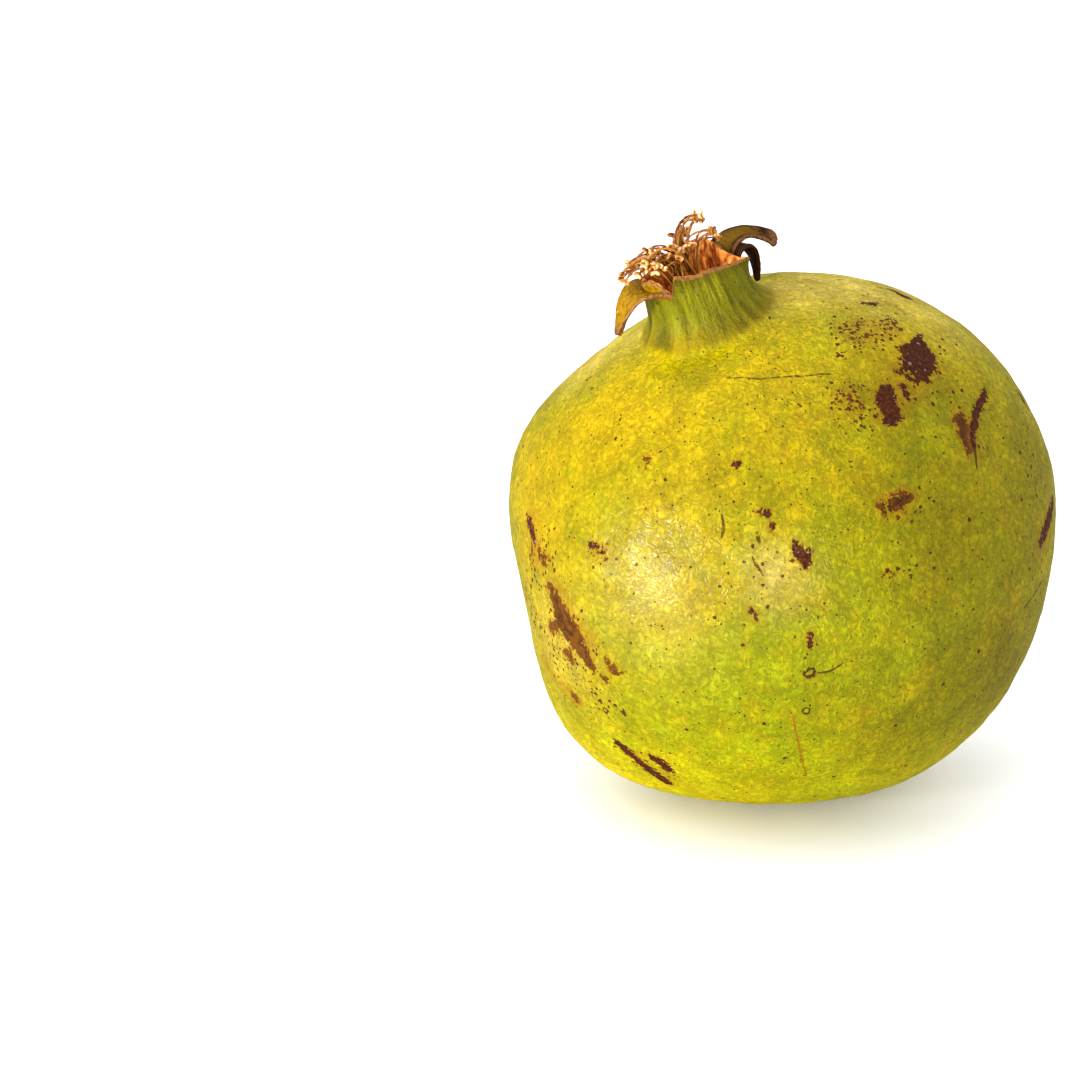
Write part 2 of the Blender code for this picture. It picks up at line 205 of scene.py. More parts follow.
LUMPS = [(ring_direction(hour), height * MM, RING_SPREAD) for hour, height in RING_CORNERS]
LUMPS += [(direction(a, e), height * MM, FREE_SPREAD) for a, e, height in FREE_LUMPS]


def placed(points):
    """Points of the plain turned shape, moved out by the lumps and ribs, in world coordinates."""
    points = np.asarray(points, float)
    ways = points / np.linalg.norm(points, axis=1, keepdims=True)
    world_ways = ways @ TURN.T
    out = np.zeros(len(points))
    for centre, height, spread in LUMPS:
        out += height * np.exp((world_ways @ np.array(centre) - 1.0) / spread**2)
    turn = np.arctan2(ways[:, 1], ways[:, 0])
    out += RIB_HEIGHT * (1.0 - ways[:, 2] ** 2) * np.cos(RIBS * turn + 0.7 * np.sin(turn))
    return np.array(CENTRE) + (points + ways * out[:, None]) @ TURN.T


def body_profile():
    root_angle = math.asin(ROOT_RADIUS / BODY_RADIUS)
    share = np.arange(1, BODY_ROWS + 1) / BODY_ROWS
    angle = (math.pi - root_angle) * (0.5 * share + 0.5 * share**1.5)
    rho = BODY_RADIUS * np.sin(angle)
    dimple = np.where(angle < math.pi / 2, np.exp(-((rho / DIMPLE_RADIUS) ** 2)), 0.0)
    return rho, -BODY_HALF_HEIGHT * np.cos(angle) + DIMPLE_DEPTH * dimple


ROOT_HEIGHT = float(body_profile()[1][-1])
RIM_HEIGHT = ROOT_HEIGHT + NECK_HEIGHT


def neck_radius(above):
    return NECK_RADIUS + (ROOT_RADIUS - NECK_RADIUS) * np.exp(-above / ROOT_WIDENING)


def ridge(feature, turn):
    """What a feature of the rim adds at each turn, with its peak a little rounded."""
    peak, before, after, height = feature
    away = (np.degrees(turn) - peak + 180.0) % 360.0 - 180.0
    share = np.clip(1.0 - np.abs(away) / np.where(away < 0, before, after), 0.0, 1.0)
    return height * (share + 0.1 * np.sin(math.tau * share) * share)


def dent(feature, turn):
    height = feature[-1]
    share = ridge(feature, turn) / height
    return height * share * (2.0 - share)


def wander(points, size, seed=0.0, octaves=3):
    """Smooth noise from -1 to 1 at each point, with features of that size."""
    shift = Vector((seed, 2.3 * seed, -1.7 * seed))
    return np.array([noise.fractal(Vector(p) / size + shift, 1.0, 2.0, octaves) for p in points])


# The rind


def rind_outline(turn):
    """The rows at a turn, each (radius, height, how far up the neck, how far into the cup)."""
    rho, height = body_profile()
    rows = [(r, h, 0.0, 0.0) for r, h in zip(rho, height)]
    rise = NECK_HEIGHT + sum(ridge(each, turn) for each in RIM_FEATURES)
    wear = noise.noise(Vector((5 * math.cos(turn), 5 * math.sin(turn), 0.0)))
    wear += 0.3 * noise.noise(Vector((17 * math.cos(turn), 17 * math.sin(turn), 4.0)))
    rise = rise + RIM_WEAR * wear
    corner = ridge(CORNER, turn) + ridge(CORNER_TIP, turn)
    corner += dent(FRONT_FLAT, turn) + dent(BACK_FLAT, turn)
    outer = neck_radius(NECK_HEIGHT) + corner
    rim = ROOT_HEIGHT + rise
    for row in range(1, NECK_ROWS + 1):
        share = (row / NECK_ROWS) ** 1.1
        lip = RIM_LIP * math.exp(-(((1.0 - share) * rise / (0.5 * MM)) ** 2))
        above = rise * share - RIM_ROUNDING * share**8
        rows.append((neck_radius(above) + corner * share**2 + lip, ROOT_HEIGHT + above, share, 0.0))
    for row in range(1, RIM_ROWS + 1):
        a = math.pi * row / (RIM_ROWS + 1)
        rho = outer - RIM_WALL / 2 + (RIM_WALL / 2 + RIM_LIP) * math.cos(a)
        rows.append((rho, rim - RIM_ROUNDING * (1.0 - math.sin(a)), 1.0, row / RIM_ROWS))
    floor = RIM_HEIGHT - CUP_DEPTH
    for row in range(1, CUP_ROWS + 1):
        share = 0.06 + 0.94 * row / CUP_ROWS
        inner = outer - RIM_WALL - (WALL - RIM_WALL) * min(1.0, 3.0 * share)
        bowl = math.sqrt(max(0.0, 1.0 - share**2))
        rho = CUP_FLOOR_RADIUS + (inner - CUP_FLOOR_RADIUS) * bowl
        rows.append((rho, rim + (floor - rim) * share, 1.0, 1.0))
    for share in (0.8, 0.55, 0.3, 0.12):
        rows.append((share * CUP_FLOOR_RADIUS, floor, 1.0, 1.0))
    return rows


def turned_faces(rows, columns, count):
    """Faces between rows of points that go round, closed at both ends by a pole."""
    faces = []
    for column in range(columns):
        after = (column + 1) % columns
        faces.append((count, after, column))
        top = (rows - 1) * columns
        faces.append((count + 1, top + column, top + after))
        for row in range(rows - 1):
            a, b = row * columns, (row + 1) * columns
            faces.append((a + column, a + after, b + after, b + column))
    return faces


def make_body():
    """The body, neck and cup, with the facts neck, inside and fold at each point."""
    steps = [math.tau * column / COLUMNS for column in range(COLUMNS)]
    turns = [FRONT_TURN + step - CROWDING * math.sin(step) for step in steps]
    outlines = [rind_outline(turn) for turn in turns]
    rows = len(outlines[0])
    table = np.array(outlines)
    rho, height, neck, inside = (table[:, :, i].T.ravel() for i in range(4))
    turn = np.tile(turns, rows)
    own = np.stack([rho * np.cos(turn), rho * np.sin(turn), height], 1)
    poles = [(0, 0, -BODY_HALF_HEIGHT + DIMPLE_DEPTH), (0, 0, RIM_HEIGHT - CUP_DEPTH)]
    own = np.vstack([own, poles])
    neck = np.append(neck, (0.0, 1.0))
    inside = np.append(inside, (0.0, 1.0))
    world = placed(own)
    out = world - np.array(CENTRE)
    out /= np.linalg.norm(out, axis=1, keepdims=True)
    lift = UNDULATION * wander(own, UNDULATION_SIZE, 1.0)
    lift += 0.5 * UNDULATION * wander(own, UNDULATION_SIZE / 3.2, 2.0)
    rho = distance(own[:, :2], 0.0)
    away = np.clip((rho - CALM_RADIUS) / CALM_FADE, 0.0, 1.0)
    world += out * (lift * away * (neck < 0.02))[:, None]
    world, fold = folded_neck(world, own, neck, inside)
    world[:, 2] = np.maximum(world[:, 2], 0.0)
    return world, own, turned_faces(rows, COLUMNS, rows * COLUMNS), neck, inside, fold


def folded_neck(world, own, neck, inside):
    """The points with the neck's lengthwise folds, and how high the folds are at each."""
    rho = distance(own[:, :2], 0.0)
    near = np.clip((FOLD_REACH - rho) / FOLD_FADE, 0.0, 1.0) ** 1.5 * (own[:, 2] > 0)
    near = np.where(neck > 0, 1.0, near) * (inside <= 0)
    turn = np.arctan2(own[:, 1], own[:, 0])
    x, y, fold = np.cos(turn), np.sin(turn), 0.0
    for often, length, seed, share in FOLDS:
        place = np.stack([often * x, often * y, own[:, 2] / length], 1)
        fold = fold + share * wander(place, 1.0, seed, 2)
    side = np.stack([x, y, np.zeros(len(turn))], 1) @ TURN.T
    return world + side * (NECK_FOLD * fold * near)[:, None], fold * near


def sepal_lean(sepal, share):
    leans = sepal["leans"]
    return math.radians(float(np.interp(share, np.linspace(0, 1, len(leans)), leans)))


def sepal_path(sepal):
    """(radius, height, lean) along the middle of a sepal."""
    rho = float(neck_radius(NECK_HEIGHT)) - 0.5 * WALL
    height = RIM_HEIGHT - SEPAL_SINK
    step = (sepal["length"] * MM + SEPAL_SINK) / SEPAL_ROWS
    path = []
    for row in range(SEPAL_ROWS + 1):
        path.append((rho, height, sepal_lean(sepal, row / SEPAL_ROWS)))
        lean = sepal_lean(sepal, (row + 0.5) / SEPAL_ROWS)
        rho += step * math.sin(lean)
        height += step * math.cos(lean)
    return path


def sepal_width(sepal, share):
    narrowing = (1.0 - share) ** 0.8 * (0.75 + 0.25 * math.cos(math.pi * share))
    return narrowing + 0.28 * share * (1.0 - share) + sepal["tip"] * share**2


def make_sepal(sepal, seed):
    """A sepal with thick curled margins, and how near each point is to its margin."""
    turn = math.radians(sepal["turn"])
    half_width = sepal["width"] * MM / 2
    own, margin = [], []
    for row, (rho, height, lean) in enumerate(sepal_path(sepal)):
        share = row / SEPAL_ROWS
        end = math.sqrt(max(0.0, 1.0 - max(0.0, (share - 0.93) / 0.07) ** 2))
        thick = SEPAL_THICKNESS + (SEPAL_TIP_THICKNESS - SEPAL_THICKNESS) * share
        thick *= 0.25 + 0.75 * end
        drift = sepal["drift"] * MM * share**2
        twist = math.radians(sepal["twist"]) * share**2
        width = half_width * sepal_width(sepal, share) * (0.2 + 0.8 * end)
        for side in range(SEPAL_SIDES):
            a = math.tau * side / SEPAL_SIDES
            across = math.copysign(abs(math.cos(a)) ** 0.6, math.cos(a))
            bulge = math.copysign(abs(math.sin(a)) ** 0.6, math.sin(a))
            rolled = 0.75 + 0.45 * math.exp(-(((abs(across) - 0.82) / 0.16) ** 2))
            ripple = noise.noise(Vector((across * 1.4 + seed, share * 5.0, seed)))
            ripple += 0.5 * noise.noise(Vector((across * 4.0, share * 14.0, seed)))
            cup = sepal["cup"] * MM * share * across**2
            out = bulge * thick / 2 * rolled - cup + SEPAL_RIPPLE * ripple * min(1.0, 3 * share)
            out -= across * width * math.sin(twist)
            along = turn + (across * width * math.cos(twist) + drift) / rho
            r = rho + out * math.cos(lean)
            own.append((r * math.cos(along), r * math.sin(along), height - out * math.sin(lean)))
            margin.append(max(abs(across) ** 3, share**4))
    ends = [np.mean(own[:SEPAL_SIDES], 0), np.mean(own[-SEPAL_SIDES:], 0)]
    own = np.array(own + ends)
    rows = SEPAL_ROWS + 1
    faces = turned_faces(rows, SEPAL_SIDES, rows * SEPAL_SIDES)
    return placed(own), own, faces, np.append(margin, (0.0, 1.0))


def join_rind():
    """The whole rind's points and faces, with what its material needs to know at each point."""
    world, own, faces, neck, inside, fold = make_body()
    turn = np.degrees(np.arctan2(own[:, 1], own[:, 0])) % 360.0
    leafy = np.clip(1.2 - np.abs(turn - SEPALS[0]["turn"]) / 40.0, 0.0, 1.0)
    leafy = leafy * np.clip((neck - 0.62) / 0.3, 0.0, 1.0)
    known = {
        "world": [world],
        "own": [own],
        "neck": [neck],
        "inside": [inside],
        "margin": [rim_margin(neck, inside)],
        "dry": [SEPALS[0]["dry"] * leafy * (inside <= 0)],
        "fold": [fold],
    }
    start = len(world)
    for seed, sepal in enumerate(SEPALS):
        points, own, more, margin = make_sepal(sepal, 7.3 * seed + 1.1)
        faces += [tuple(start + corner for corner in face) for face in more]
        start += len(points)
        one, none = np.ones(len(points)), np.zeros(len(points))
        values = (points, own, one, none, margin, sepal["dry"] * one, none)
        for stack, value in zip(known.values(), values):
            stack.append(value)
    facts = {name: np.concatenate(stack) for name, stack in known.items()}
    return facts.pop("world"), faces, facts


def rim_margin(neck, inside):
    """How near each point of the neck is to the rim: 1 on it, 0 away from it."""
    outside = np.clip((neck - 0.965) / 0.035, 0.0, 1.0) ** 2
    return np.where(inside <= 0, outside, np.where(inside < 0.5, 1.0, 0.0))


# Marks on the skin, by their pixels in the photograph: (x, y, half width) along each.
# Scabs are browner and more torn than blotches, and scratches are paler than lines.
BLOTCHES = (
    ((920, 336, 1.5), (920, 346, 8), (913, 356, 13), (912, 364, 12), (920, 374, 9)),
    ((925, 354, 11), (926, 363, 11), (921, 373, 8), (917, 380, 3)),
    ((898, 372, 2), (909, 378, 2.5)),
    ((889, 390, 6), (886, 401, 10), (892, 412, 9), (889, 422, 5)),
    ((903, 387, 2.5), (906, 394, 3.5), (909, 400, 2)),
    ((986, 391, 1.8), (981, 402, 4), (975, 414, 3), (973, 430, 2.5), (973, 446, 2)),
    ((795, 547, 4), (803, 554, 7), (806, 564, 3)),
    ((760, 512, 2.2), (768, 513, 2.2)),
    ((592, 544, 2.5), (598, 549, 2.8), (605, 556, 2)),
    ((736, 463, 2.2), (738, 465, 1.6)),
    ((527, 517, 3), (531, 527, 5), (534, 541, 3)),
    ((617, 742, 3), (627, 751, 6), (637, 760, 4), (648, 769, 6), (658, 776, 7), (669, 783, 4)),
    ((652, 757, 4), (661, 763, 7), (671, 771, 4)),
    ((894, 291, 4), (906, 297, 5)),
    ((861, 303, 2.5), (877, 304, 2.5)),
    ((1053, 498, 3), (1049, 518, 7), (1041, 541, 5)),
    ((1018, 392, 2.5), (1025, 404, 3.5)),
    ((751, 610, 1.4), (757, 617, 1.8)),
    ((809, 634, 1.5), (811, 645, 2)),
    ((772, 527, 2), (773, 530, 2)),
    ((888, 573, 1.5), (892, 577, 1.5)),
)
SCABS = (
    ((960, 417, 5), (965, 434, 8), (969, 450, 4)),
    (
        (551, 584, 3), (556, 601, 8), (561, 616, 12), (569, 629, 14),
        (577, 642, 11), (585, 654, 9), (592, 668, 4),
    ),
    ((551, 627, 2.5), (560, 622, 5)),
    ((567, 654, 3), (574, 661, 2.5)),
    ((609, 663, 3), (617, 674, 3.5)),
    ((602, 678, 2.5), (606, 681, 2.5)),
    ((571, 694, 3), (576, 700, 3)),
    ((533, 547, 2.5), (533, 559, 3)),
    ((540, 555, 4), (547, 562, 3.5)),
    ((645, 457, 2), (648, 464, 1.5)),
    ((885, 507, 6), (898, 502, 7), (908, 497, 4)),
)
STAINS = (
    ((893, 505, 10), (905, 498, 7)),
    ((595, 548, 6), (604, 556, 5)),
    ((860, 330, 18), (885, 325, 14)),
    ((846, 395, 12), (855, 408, 12)),
    ((560, 600, 16), (585, 645, 18)),
    ((640, 762, 18), (662, 772, 12)),
    ((530, 520, 12), (538, 560, 12)),
    ((962, 420, 14), (972, 450, 10)),
    ((920, 360, 22), (890, 405, 18)),
    ((545, 660, 8), (575, 700, 10)),
    ((1045, 520, 10), (1035, 560, 8)),
)
LINES = (
    ((729, 378, 0.7), (760, 379, 0.7), (800, 376, 1.0), (828, 374, 0.8)),
    ((818, 673, 0.8), (830, 671, 1.1), (842, 664, 0.7)),
    ((880, 288, 1.2), (900, 292, 0.8)),
    ((1041, 583, 1.0), (1025, 607, 0.8)),
    ((974, 448, 1.4), (976, 458, 1.2), (977, 468, 0.8)),
    ((868, 795, 1.2), (895, 790, 0.9)),
    ((722, 517, 0.8), (724, 527, 1.8), (722, 536, 0.8)),
    ((757, 534, 1.5), (759, 542, 1.5)),
    ((753, 558, 0.8), (757, 566, 1.6), (762, 574, 0.8)),
)
SCRATCHES = (((793, 716, 0.8), (799, 745, 1.0), (806, 775, 0.7)),)

# Ring marks: (x, y, radius). Speckled patches: (x, y, radius, how much).
RINGS = ((810, 673, 6), (806, 711, 4), (606, 711, 4))
SPECKLED = (
    (860, 334, 32, 1.0), (888, 325, 26, 1.0), (850, 402, 27, 1.0), (842, 354, 12, 0.9),
    (866, 428, 10, 0.9), (773, 568, 22, 0.45), (907, 571, 12, 0.8), (565, 645, 46, 0.85),
    (530, 600, 34, 0.8), (600, 700, 34, 0.6), (540, 555, 34, 0.75), (650, 765, 36, 0.6),
    (905, 500, 24, 0.6), (925, 370, 60, 0.4), (975, 420, 40, 0.4), (1030, 450, 40, 0.4),
    (600, 560, 30, 0.35), (1040, 580, 40, 0.4),
)

# Marks on the side that the photograph doesn't show
HIDDEN_SEED = 5
HIDDEN_BLOTCHES = 16
HIDDEN_SPECKLES = 9


def on_skin(tree, x, y):
    """The point of the skin that a pixel of the photograph shows."""
    place, way = sight(x, y)
    hit = tree.ray_cast(place, way)[0]
    if hit is None:
        hit = tree.find_nearest(place + way * VIEW_DISTANCE)[0]
    return np.array(hit)


def pixel_size():
    return VIEW_DISTANCE / FOCAL_PIXELS


def radii_away(tree, world, x, y, radius):
    """Each point's distance from the place that a pixel shows, in radii given in pixels."""
    return distance(world, on_skin(tree, x, y)) / (radius * pixel_size())


def stroke_distance(points, stroke):
    """Each point's distance from the edge of a stroke, which is (place, half width) along it."""
    best = np.full(len(points), 1.0)
    for (a, half_a), (b, half_b) in zip(stroke, stroke[1:]):
        along = b - a
        share = np.clip((points - a) @ along / max(along @ along, 1e-12), 0.0, 1.0)
        away = distance(points - a, share[:, None] * along)
        best = np.minimum(best, away - half_a - (half_b - half_a) * share)
    return best


def traced(tree, stroke):
    return [(on_skin(tree, x, y), half * pixel_size()) for x, y, half in stroke]


def hidden_strokes(tree):
    """Blotches and speckled patches strewn over the side that faces away."""
    chance = random.Random(HIDDEN_SEED)
    strokes, patches = [], []
    _, forward, _ = view_frame()
    while len(strokes) < HIDDEN_BLOTCHES or len(patches) < HIDDEN_SPECKLES:
        way = Vector([chance.gauss(0, 1) for _ in range(3)]).normalized()
        if way.dot(forward) < 0.2 or way.dot(AXIS) > 0.85:
            continue
        start = tree.ray_cast(CENTRE, way)[0]
        side = way.cross(Vector([chance.gauss(0, 1) for _ in range(3)])).normalized()
        if len(strokes) < HIDDEN_BLOTCHES:
            length = chance.uniform(0.5, 7.0) * MM
            half = chance.uniform(0.3, 1.4) * MM
            bend = side + 0.4 * way.cross(side)
            middle = start + side * length / 2
            ends = (np.array(start), np.array(middle), np.array(middle + bend * length / 2))
            strokes.append([(p, half * s) for p, s in zip(ends, (0.5, 1.0, 0.4))])
        else:
            patches.append((np.array(start), chance.uniform(4, 9) * MM, chance.uniform(0.4, 1.0)))
    return strokes, patches


LINE_REACH = 50 * MM


def line_fields(tree, world):
    """How far each point lies to the side of the nearest line, how near it is, and its paleness."""
    side = np.full(len(world), LINE_REACH)
    near = np.full(len(world), LINE_REACH)
    tone = np.zeros(len(world))
    for line in LINES + SCRATCHES:
        stroke = traced(tree, line)
        for (a, half_a), (b, half_b) in zip(stroke, stroke[1:]):
            along = b - a
            length = np.linalg.norm(along)
            along = along / length
            out = a - np.array(CENTRE)
            across = np.cross(out / np.linalg.norm(out), along)
            across /= np.linalg.norm(across)
            rel = world - a
            run = rel @ along
            away = distance(rel, np.clip(run, 0, length)[:, None] * along)
            nearer = away < near
            half = half_a + (half_b - half_a) * np.clip(run / length, 0, 1)
            side = np.where(nearer, (rel @ across) / half, side)
            near = np.where(nearer, away, near)
            tone = np.where(nearer, float(line in SCRATCHES), tone)
    return side, near, tone


def mark_skin(tree, world, facts):
    """Adds how far each point is from each kind of mark, most of them in millimetres."""
    strokes, patches = hidden_strokes(tree)
    kinds = (("blotch", BLOTCHES, strokes), ("stain", STAINS, strokes[::2]), ("scab", SCABS, []))
    for name, seen, hidden in kinds:
        away = np.full(len(world), 1.0)
        for stroke in [traced(tree, each) for each in seen] + hidden:
            away = np.minimum(away, stroke_distance(world, stroke))
        facts[name] = np.clip(away / MM, -4, 12)
    ring = np.full(len(world), 9.0)
    for spot in RINGS:
        ring = np.minimum(ring, radii_away(tree, world, *spot))
    speckled = np.zeros(len(world))
    spots = [(on_skin(tree, x, y), radius * pixel_size(), much) for x, y, radius, much in SPECKLED]
    for middle, radius, much in spots + patches:
        away = distance(world, middle) / radius
        speckled = np.maximum(speckled, much * np.exp(-(away**3)))
    side, near, tone = line_fields(tree, world)
    facts["ring"] = ring
    facts["speckled"] = speckled
    facts["line_side"] = np.clip(side, -30, 30)
    facts["line_near"] = np.clip(near / MM, 0, 12)
    facts["line_tone"] = tone


# Broad colour of the skin, by pixels in the photograph: (x, y, radius, how much)
GREEN = (
    (760, 715, 110, 0.9), (850, 650, 130, 0.6), (640, 735, 70, 0.5), (930, 600, 120, 0.55),
    (870, 760, 100, 0.7), (960, 470, 90, 0.35), (800, 560, 70, 0.3), (660, 655, 60, 0.5),
    (860, 440, 50, 0.4),
)
# Deeper olive skin, partly painted shade: the patches on the right darken the side away from the
# light, and the faint ones tone down the lit neck root, highlight and upper middle
DEEP_AND_SHADE = (
    (1010, 560, 90, 0.42), (700, 375, 30, 0.4), (950, 540, 90, 0.5), (1000, 660, 80, 0.7),
    (1030, 470, 60, 0.5), (900, 740, 60, 0.5), (880, 400, 60, 0.45), (960, 400, 60, 0.35),
    (650, 575, 50, 0.2), (725, 440, 60, 0.2), (795, 475, 50, 0.12),
)
GOLD = (
    (540, 500, 90, 0.9), (600, 430, 90, 0.9), (560, 640, 60, 0.7), (720, 420, 120, 0.7),
    (790, 400, 90, 0.45), (670, 520, 90, 0.7), (900, 360, 70, 0.5),
)
# Pale skin and painted light: the patches on the top shoulders are painted sheen, those round (650,
# 600) and (772, 578) painted highlights, the rest paler skin
PALE_AND_HIGHLIGHT = (
    (850, 285, 70, 0.9), (790, 290, 50, 0.8), (930, 315, 50, 0.6), (600, 355, 45, 0.8),
    (630, 340, 30, 0.6), (650, 600, 70, 0.4), (772, 578, 32, 0.8), (560, 640, 60, 0.35),
)

# The skin is painted lighter below the one height, as painted bounce light from the floor, and
# above the other, as painted light from above
LOW_EDGE = 28 * MM
HIGH_EDGE = 70 * MM
HIGH_FADE = 22 * MM
PAINTED_BOUNCE_LIGHT = 1.4
PAINTED_TOP_LIGHT = 0.36


def broad_colour(tree, world, facts):
    """Adds how green, golden, pale and deep the skin is at each point, the pale partly painted
    highlight and the deep partly painted shade, and a lift of painted light at the bottom and top.
    """
    for name, patches in (("green", GREEN), ("gold", GOLD), ("pale_and_highlight", PALE_AND_HIGHLIGHT), ("deep_and_shade", DEEP_AND_SHADE)):
        value = np.zeros(len(world))
        for *spot, much in patches:
            away = radii_away(tree, world, *spot)
            value = np.maximum(value, much * np.exp(-(away**2)))
        facts[name] = value
    _, forward, _ = view_frame()
    out = (world - np.array(CENTRE)) @ np.array(forward) / BODY_RADIUS
    facts["green"] = np.maximum(facts["green"], 0.45 * np.clip(out, 0, 1))
    low = np.clip(1.0 - world[:, 2] / LOW_EDGE, 0.0, 1.0)
    high = np.clip((world[:, 2] - HIGH_EDGE) / HIGH_FADE, 0.0, 1.0)
    # The lift is painted light: painted bounce light near the bottom and painted light from above
    # near the top
    facts["lift"] = 1.0 + PAINTED_BOUNCE_LIGHT * low**1.3 + PAINTED_TOP_LIGHT * high


def mesh_object(name, material, points, faces, facts=None):
    """A smooth mesh object, with a value or vector at each point for each fact."""
    mesh = bpy.data.meshes.new(name)
    mesh.from_pydata([tuple(p) for p in points], [], faces)
    for fact, values in (facts or {}).items():
        values = np.asarray(values, np.float32)
        kind, field = ("FLOAT_VECTOR", "vector") if values.ndim > 1 else ("FLOAT", "value")
        mesh.attributes.new(fact, kind, "POINT").data.foreach_set(field, values.ravel())
    mesh.shade_smooth()
    mesh.materials.append(material)
    return added(name, mesh)


# Materials


class Paint:
    """A material whose nodes are made by short calls."""

    def __init__(self, name):
        self.material = bpy.data.materials.new(name)
        self.material.use_nodes = True
        self.tree = self.material.node_tree
        self.shader = self.tree.nodes["Principled BSDF"]
        self.place = self.node("ShaderNodeTexCoord").outputs["Object"]

    def node(self, kind, **settings):
        made = self.tree.nodes.new(kind)
        for name, value in settings.items():
            setattr(made, name, value)
        return made

    def put(self, socket, value):
        """Links a socket to another's output, or sets its own value."""
        if isinstance(value, bpy.types.NodeSocket):
            self.tree.links.new(value, socket)
        elif isinstance(value, (tuple, list)) and len(value) == 3 and socket.type == "RGBA":
            socket.default_value = (*value, 1.0)
        else:
            socket.default_value = value

    def fill(self, made, **values):
        """Fills a node's inputs, which are named with _ for a space."""
        for name, value in values.items():
            self.put(made.inputs[name.replace("_", " ")], value)
        return made

    def fact(self, name, part="Fac"):
        return self.node("ShaderNodeAttribute", attribute_name=name).outputs[part]

    def op(self, operation, a, b=0.0, c=0.0, clamp=False):
        made = self.node("ShaderNodeMath", operation=operation, use_clamp=clamp)
        for socket, value in zip(made.inputs, (a, b, c)):
            self.put(socket, value)
        return made.outputs[0]

    def times(self, a, b, plus=0.0):
        return self.op("MULTIPLY_ADD", a, b, plus)

    def swing(self, value, much, base=0.0):
        """A value from 0 to 1, turned into a swing about a base."""
        return self.times(self.op("SUBTRACT", value, 0.5), much, base)

    def span(self, value, low, high, to_low=0.0, to_high=1.0, kind="SMOOTHSTEP"):
        """A value carried from low..high to another range, and held at its ends."""
        made = self.node("ShaderNodeMapRange", interpolation_type=kind)
        for socket, each in zip(made.inputs, (value, low, high, to_low, to_high)):
            self.put(socket, each)
        return made.outputs[0]

    def scaled(self, place, scale):
        return self.fill(self.node("ShaderNodeMapping"), Vector=place, Scale=scale).outputs[0]

    def noise(self, size, detail=3.0, rough=0.55, place=None, distort=0.0, output="Fac"):
        """Noise from 0 to 1 with features of a size in metres."""
        made = self.node("ShaderNodeTexNoise")
        self.fill(made, Vector=place or self.place, Scale=1.0 / size, Detail=detail)
        return self.fill(made, Roughness=rough, Distortion=distort).outputs[output]

    def mix(self, share, a, b, blend="MIX"):
        made = self.node("ShaderNodeMix", data_type="RGBA", blend_type=blend)
        self.put(made.inputs[0], share)
        self.put(made.inputs[6], a)
        self.put(made.inputs[7], b)
        return made.outputs[2]

    def bump(self, height, distance, normal=None, strength=1.0):
        made = self.node("ShaderNodeBump")
        self.fill(made, Height=height, Distance=distance, Strength=strength)
        if normal is not None:
            self.put(made.inputs["Normal"], normal)
        return made.outputs[0]

    def surface(self, **values):
        self.fill(self.shader, **values)


GOLDEN = (0.3, 0.204, 0.000421)
LEAF_GREEN = (0.186, 0.202, 0.000351)
OLIVE = (0.209, 0.174, 0.00021)
# Pale skin, also the colour of painted highlight and sheen
PALE_SKIN_AND_HIGHLIGHT = (0.398, 0.296, 0.0552)
# Deeper olive, also the colour of painted shade
DEEP_OLIVE_AND_SHADE = (0.126, 0.0955, 0.000158)
NECK_GREEN = (0.095, 0.0915, 0.000148)
NECK_GOLD = (0.143, 0.093, 0.000367)
# Painted shade for the neck's folds and under the rim
NECK_PAINTED_SHADE = (0.036, 0.031, 0.000164)
DOT = (0.0287, 0.00902, 0.00164)
SPECKLE = (0.045, 0.01, 0.001)
BLOTCH_DARK = (0.024, 0.0045, 0.0006)
BLOTCH_RED = (0.08, 0.017, 0.001)
SCAB_DARK = (0.018, 0.0045, 0.0004)
SCAB_BROWN = (0.095, 0.027, 0.001)
STAIN = (0.197, 0.082, 0.00082)
FLECK = (0.246, 0.164, 0.0902)
SCRATCH = (0.2, 0.075, 0.001)
LINE = (0.041, 0.0148, 0.00164)
INNER_DARK = (0.253, 0.0443, 0.00506)
INNER_ORANGE = (0.911, 0.316, 0.0569)
MARGIN_PALE = (0.27, 0.112, 0.03)
MARGIN_DARK = (0.045, 0.012, 0.002)
SEPAL_FACE = (0.27, 0.135, 0.002)
SEPAL_GREEN = (0.11, 0.062, 0.0006)
SEPAL_DRY = (0.019, 0.005, 0.0006)

# The skin is matt under a thin glossy coat, whose relief is gentler than the skin's own
SKIN_RELIEF = 0.15 * MM
GLOSS_RELIEF = 0.07 * MM
GLOSS_WEIGHT = 0.07
GLOSS_ROUGHNESS = 0.13
GLOSS_INDEX = 1.9
WRINKLE_WIDTH = 1.5 * MM
DOT_WARP = 0.8 * MM


def rind_material():
    paint = Paint("rind_skin")
    colour = skin_colour(paint)
    colour, cover = skin_marks(paint, colour)
    colour = crown_colour(paint, colour)
    paint.surface(
        Base_Color=colour,
        Roughness=skin_roughness(paint, cover),
        Normal=skin_relief(paint, cover, SKIN_RELIEF),
        Specular_IOR_Level=0.0,
        Coat_Weight=GLOSS_WEIGHT,
        Coat_Roughness=GLOSS_ROUGHNESS,
        Coat_IOR=GLOSS_INDEX,
        Coat_Normal=skin_relief(paint, cover, GLOSS_RELIEF),
    )
    return paint.material


